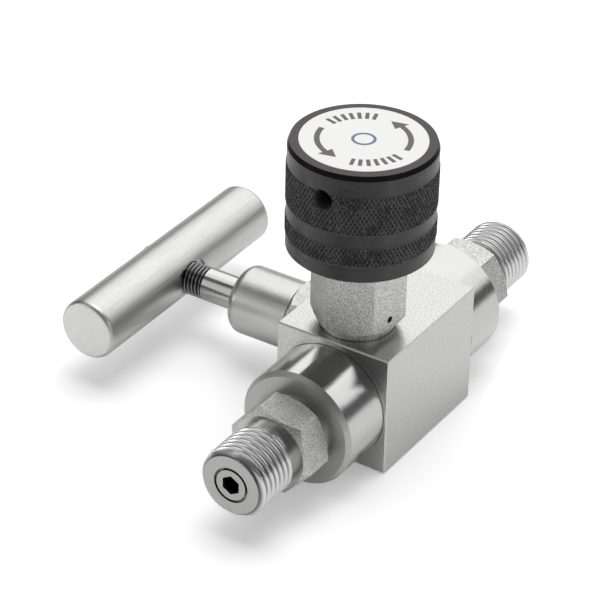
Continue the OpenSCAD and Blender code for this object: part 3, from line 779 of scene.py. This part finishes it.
def threaded_spindle():
    """Isolation spindle with a helical thread where it enters the T-bar."""
    skin = Skin(even_angles(ROUND_STEPS))
    foot = spindle_low.y
    end = spindle_high.y
    thread_start = end - STEM_THREAD_L
    shank_r = SHANK_D / 2
    drive_r = SPINDLE_THREAD_D / 2
    drive_end = SPINDLE_THREAD_Y
    drive_start = drive_end - SPINDLE_THREAD_L
    crest_r = STEM_THREAD_D / 2
    root_r = crest_r - STEM_THREAD_DEPTH
    neck_r = NEEDLE_NECK_D / 2
    head_r = NEEDLE_HEAD_D / 2
    room_end = foot + SWAGE_L + SWAGE_ROOM_L
    skin.profile([(0, room_end), (head_r, room_end), (head_r, foot + SWAGE_L), (neck_r, foot + SWAGE_L),
                  (neck_r, foot), (SPINDLE_FOOT_D / 2, foot), (SPINDLE_FOOT_D / 2, drive_start),
                  (drive_r, drive_start), (drive_r, drive_end), (shank_r, drive_end),
                  (shank_r, thread_start - EDGE_BREAK), (shank_r - EDGE_BREAK, thread_start),
                  (root_r, thread_start)], 0)
    envelope = line_through([(thread_start, root_r), (thread_start + STEM_THREAD_CHAMFER, crest_r),
                             (end - STEM_THREAD_CHAMFER, crest_r), (end, root_r)])
    rows = thread_rows(skin.angles, thread_start, end, STEM_PITCH, STEM_THREAD_DEPTH, crest_r, envelope)
    skin.strip(rows, 1, seam_shift=THREAD_STEPS)
    skin.profile([(root_r, end), (0, end)], 1)
    piece = skin.finish("threaded_isolation_spindle", ISOLATION_PLACE, [stem_turned, stem_thread])
    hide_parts("isolation_spindle")
    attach(piece, "isolation_handle")


def round_bar():
    """T-bar with rounded ends, bored for the stem."""
    low, high = box_mm("t_bar")
    r = (high.z - low.z) / 2
    half = (high.x - low.x) / 2
    middle = (low + high) / 2
    corner = [(r - BAR_ROUND + BAR_ROUND * math.sin(t), half - BAR_ROUND + BAR_ROUND * math.cos(t))
              for t in (math.pi / 2 * i / CORNER_STEPS for i in range(CORNER_STEPS + 1))]
    count = math.floor((half - BAR_ROUND) / BAR_RING_STEP)
    rings = [(r, half - BAR_ROUND - BAR_RING_MARGIN)]
    rings += [(r, i * BAR_RING_STEP) for i in range(count, 0, -1)]
    side = [(0, half)] + corner + rings
    mirrored = [(radius, -x) for radius, x in side]
    skin = Skin(even_angles(ROUND_STEPS))
    skin.profile(mirrored + [(r, 0)] + side[::-1])
    bar = skin.finish("round_t_bar", Matrix.Translation(middle) @ Matrix.Rotation(math.pi / 2, 4, "Y"),
                      [bar_steel()])
    bore = Skin(even_angles(HOLE_STEPS))
    sink_r = BAR_SINK_D / 2
    bore_r = BAR_BORE_D / 2
    start = -r - CUT_OVER
    end = r + CUT_OVER
    sink_end = BAR_SINK_DEPTH - r
    bore.profile([(0, start), (sink_r, start), (sink_r, sink_end), (bore_r, sink_end), (bore_r, end),
                  (0, end)])
    bore_place = ISOLATION_PLACE @ Matrix.Translation((0, 0, middle.y))
    return carve(bar, bore.finish("bar_bore_cutter", bore_place, [stem_turned]))


threaded_spindle()
bar = round_bar()
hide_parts("t_bar")
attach(bar, "isolation_handle")


# Knob

KNOB_MATERIALS = [black_bands, black_knurl, black_rim, black_edge]
BANDS, KNURL, RIM, EDGE = range(4)


def knurl_rows(skin, start, end, base_r):
    """Rows of diamond knurling, and the way in which each cell is cut along its groove."""
    cell_h = FULL_TURN * base_r / KNURL_COUNT / math.tan(KNURL_ANGLE) / KNURL_CELLS
    half = KNURL_CELLS / 2

    def groove_distances(i, j):
        return tuple(abs((i + sign * j) % KNURL_CELLS - half) for sign in (1, -1))

    def cut(i, j, sign):
        """Share of the full depth at a point. Every second groove is shallower."""
        number = (i + sign * j) / KNURL_CELLS
        off_groove = abs(number - round(number)) * KNURL_CELLS
        full = 1 if round(number) % 2 else KNURL_SHALLOW
        return full * (1 - min(1, off_groove / (half - 1)))

    def radius(i, j):
        return base_r - KNURL_DEPTH * max(cut(i, j, 1), cut(i, j, -1))

    first = math.floor(start / cell_h) + 1
    last = math.ceil(end / cell_h) - 1
    steps = [start / cell_h] + list(range(first, last + 1)) + [end / cell_h]
    rows = [[(radius(i, j), j * cell_h) for i in range(len(skin.angles))] for j in steps]

    def diagonal(i, k):
        j = (steps[k] + steps[k + 1]) / 2
        plus, minus = groove_distances(i + 0.5, j)
        return -1 if plus > minus else 1
    return rows, diagonal


def knurled_knob():
    """Knob with two knurled bands, hollow from below round its hub, and cut for its grub screw."""
    skin = Skin(even_angles(KNURL_COUNT * KNURL_CELLS))
    r = KNOB_D / 2
    low = knob_low.z
    top_z = knob_high.z
    lower_z = low + KNOB_FOOT_H
    waist_z = lower_z + LOWER_KNURL_H
    upper_z = waist_z + WAIST_H
    shoulder_z = upper_z + UPPER_KNURL_H
    hub_z = low + HUB_RISE
    bore_end = hub_z + HUB_DEPTH
    hollow_r = KNOB_HOLLOW_D / 2
    bore_r = KNOB_BORE_D / 2
    seat_r = LABEL_SEAT_D / 2
    seat_z = top_z - LABEL_RECESS
    edge_r = r - KNOB_CHAMFER_W
    skin.profile([(0, bore_end), (bore_r, bore_end), (bore_r, hub_z), (hollow_r, hub_z), (hollow_r, low),
                  (edge_r, low), (r, low + KNOB_CHAMFER_W), (r, lower_z - KNURL_RUNOUT - BAND_EDGE)],
                 BANDS)
    for start, end in ((lower_z, waist_z), (upper_z, shoulder_z)):
        rows, diagonal = knurl_rows(skin, start, end, r + KNURL_RISE)
        runout = [(min(r, radius), start) for radius, z in rows[0]]
        rows[0] = [(radius, start + BAND_EDGE) for radius, z in rows[0]]
        shadow = [skin.row(r, start - KNURL_RUNOUT - BAND_EDGE), skin.row(r, start - KNURL_RUNOUT)]
        skin.strip(shadow + [runout, rows[0]], RIM)
        skin.strip(rows, KNURL, diagonal=diagonal)
        skin.strip([rows[-1], skin.row(r, end + BAND_EDGE), skin.row(r, end + 2 * BAND_EDGE)], KNURL)
    skin.profile([(r, waist_z + 2 * BAND_EDGE), (r, upper_z - KNURL_RUNOUT - BAND_EDGE)], BANDS)
    skin.profile([(r, shoulder_z + 2 * BAND_EDGE), (r, top_z - KNOB_CHAMFER_H)], BANDS)
    skin.profile([(r, top_z - KNOB_CHAMFER_H), (edge_r, top_z)], EDGE)
    skin.profile([(edge_r, top_z), (seat_r, top_z), (seat_r, seat_z), (0, seat_z)], RIM)
    knob = skin.finish("knurled_knob", BLEED_PLACE, KNOB_MATERIALS)
    hole = Skin(even_angles(HOLE_STEPS))
    hole_r = KNOB_GRUB_D / 2
    start = SHANK_D / 2 - CUT_OVER
    end = r + 2 * CUT_OVER
    threads = [(hole_r + (HOLE_THREAD_DEPTH if i % 2 else 0), r - HOLE_THREAD_START - i * HOLE_PITCH / 2)
               for i in range(HOLE_THREADS * 2, -1, -1)]
    hole.profile([(0, start), (hole_r, start)] + threads + [(hole_r, end), (0, end)])
    hole_place = BLEED_PLACE @ Matrix.Translation((0, 0, hub_z + KNOB_GRUB_RISE)) \
        @ Matrix.Rotation(-math.pi / 2, 4, "Y")
    return carve(knob, hole.finish("knob_hole_cutter", hole_place, [black_knurl]))


knob = knurled_knob()
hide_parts("bleed_knob")
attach(knob, "bleed_handle")


# Label print: curved arrows for the two ways to turn, ticks, and a plain ring in the middle

def flat_shape(mesh, outline, low, high):
    """Adds a thin plate with a given outline."""
    under = [mesh.verts.new((x, y, low)) for x, y in outline]
    over = [mesh.verts.new((x, y, high)) for x, y in outline]
    mesh.faces.new(reversed(under))
    mesh.faces.new(over)
    for k in range(len(outline)):
        n = (k + 1) % len(outline)
        mesh.faces.new((under[k], under[n], over[n], over[k]))


def polar(radius, angle):
    return radius * math.cos(angle), radius * math.sin(angle)


def arc(radius, start, end):
    return [polar(radius, start + (end - start) * i / ARC_STEPS) for i in range(ARC_STEPS + 1)]


def arrow(start):
    end = start + ARROW_SPAN
    inner = arc(ARROW_R - ARROW_W / 2, start, end)
    outer = arc(ARROW_R + ARROW_W / 2, end, start)
    head = [polar(ARROW_R - ARROW_HEAD_W / 2, end), polar(ARROW_R, end + ARROW_HEAD_SPAN),
            polar(ARROW_R + ARROW_HEAD_W / 2, end)]
    return inner + head + outer


def tick(angle):
    half = TICK_W / 2
    corners = [(TICK_INNER_R, -half), (TICK_OUTER_R, -half), (TICK_OUTER_R, half), (TICK_INNER_R, half)]
    return [(x * math.cos(angle) - y * math.sin(angle), x * math.sin(angle) + y * math.cos(angle))
            for x, y in corners]


def half_ring(start):
    end = start + math.pi
    return arc(MARK_R, start, end) + arc(MARK_R - MARK_W, end, start)


def print_piece(name, outlines, material):
    mesh = bmesh.new()
    for outline in outlines:
        flat_shape(mesh, outline, label_high.z, label_high.z + PRINT_T)
    bmesh.ops.recalc_face_normals(mesh, faces=mesh.faces)
    piece = solid(name, mesh, BLEED_PLACE, [material])
    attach(piece, "bleed_handle")


ticks = [tick(start - TICK_START - i * TICK_STEP) for start in ARROW_STARTS for i in range(TICK_COUNT)]
print_piece("label_print", [arrow(start) for start in ARROW_STARTS] + ticks, ink)
print_piece("label_mark", [half_ring(0), half_ring(math.pi)], blue_ink)


# Studio

FLOOR_SIZE = 4.0
FLOOR_CELLS = 8
FLOOR_TONE = 0.92
FLOOR_CHANGE = 0.01
FLOOR_CLOUDS = 3.0
WORLD_TONE = 0.13

# What the floor adds to its own brightness where it is seen or mirrored, so that it is white. Less
# of it is mirrored near the valve's shadow, whose middle and reach are in millimetres.
FLOOR_LIFT = 0.28
MIRRORED_LIFT = 0.4
SHADOW_MIDDLE = (4, 18, 0)
SHADOW_CORE = 10
SHADOW_END = 45

# Lamps: name, place, the point that each faces, width, height, and the brightness of its face
TARGET = (0, 0.01, 0.02)
LAMPS = (
    ("back_panel", (0.9, 0.32, 0.94), (0, 0.32, 0), 1.62, 1.3, 1.48),
    ("side_panel", (0.9, -0.87, 0.94), (0, -0.87, 0), 0.75, 1.3, 1.25),
    ("top_panel", (0.1, 0.2, 1.3), (0.1, 0.2, 0), 0.6, 1.6, 1.15),
    ("key_panel", (0.05, 0.02, 1.25), (0.02, 0.01, 0), 0.7, 0.7, 3.1),
    ("left_panel", (-0.98, 0.62, 0.6), TARGET, 0.5, 1.0, 0.72),
    ("left_strip", (-0.72, 0.86, 0.22), TARGET, 0.18, 0.4, 5.0),
    ("front_strip", (-0.3, -1.05, 0.32), TARGET, 0.16, 0.6, 5.0),
)


def make_floor():
    look = Look("floor_paper")
    rays = look.node("ShaderNodeLightPath").outputs
    from_shadow = look.vector("DISTANCE", look.place, tuple(v * MM for v in SHADOW_MIDDLE), "Value")
    clear = look.spread(from_shadow, 0.0, MIRRORED_LIFT, SHADOW_CORE * MM, SHADOW_END * MM)
    mirrored = look.math("MULTIPLY", rays["Is Glossy Ray"], clear)
    seen = look.math("MAXIMUM", rays["Is Camera Ray"],
                     look.math("MAXIMUM", mirrored, rays["Is Transmission Ray"]))
    tone = look.spread(look.noise(look.place, FLOOR_CLOUDS), FLOOR_TONE - FLOOR_CHANGE,
                       FLOOR_TONE + FLOOR_CHANGE)
    paper = look.node("ShaderNodeCombineColor", {"Red": tone, "Green": tone, "Blue": tone})
    look.set(Base_Color=paper.outputs["Color"], Roughness=0.9, Specular_IOR_Level=0.0,
             Emission_Color=(1, 1, 1, 1), Emission_Strength=look.math("MULTIPLY", seen, FLOOR_LIFT))
    mesh = bmesh.new()
    bmesh.ops.create_grid(mesh, x_segments=FLOOR_CELLS, y_segments=FLOOR_CELLS, size=FLOOR_SIZE / 2 / MM)
    floor = solid("studio_floor", mesh, Matrix.Identity(4), [look.material])


def make_lamp(name, place, target, width, height, brightness):
    """A rectangular lamp that faces a target."""
    lamp = bpy.data.lights.new(name, "AREA")
    lamp.shape = "RECTANGLE"
    lamp.size = width
    lamp.size_y = height
    lamp.energy = brightness * math.pi * width * height
    obj = bpy.data.objects.new(name, lamp)
    obj.location = place
    direction = Vector(target) - Vector(place)
    obj.rotation_euler = direction.to_track_quat("-Z", "Y").to_euler()
    bpy.context.scene.collection.objects.link(obj)


def make_world():
    world = bpy.data.worlds.new("studio")
    world.use_nodes = True
    world.node_tree.nodes["Background"].inputs["Color"].default_value = (WORLD_TONE,) * 3 + (1,)
    bpy.context.scene.world = world


def make_camera():
    back = Vector((math.sin(CAMERA_AZIMUTH) * math.cos(CAMERA_ELEVATION),
                   -math.cos(CAMERA_AZIMUTH) * math.cos(CAMERA_ELEVATION),
                   math.sin(CAMERA_ELEVATION)))
    level = Vector((math.cos(CAMERA_AZIMUTH), math.sin(CAMERA_AZIMUTH), 0))
    rise = back.cross(level)
    right = level * math.cos(CAMERA_ROLL) + rise * math.sin(CAMERA_ROLL)
    up = rise * math.cos(CAMERA_ROLL) - level * math.sin(CAMERA_ROLL)
    data = bpy.data.cameras.new("camera")
    data.sensor_width = CAMERA_SENSOR
    data.lens = CAMERA_LENS
    camera = bpy.data.objects.new("camera", data)
    turn = Matrix((right, up, back)).transposed().to_4x4()
    camera.matrix_world = Matrix.Translation(Vector(CAMERA_PLACE) * MM) @ turn
    bpy.context.scene.collection.objects.link(camera)
    bpy.context.scene.camera = camera


make_floor()
make_world()
for lamp in LAMPS:
    make_lamp(*lamp)
make_camera()
bpy.context.scene.view_settings.view_transform = "Standard"
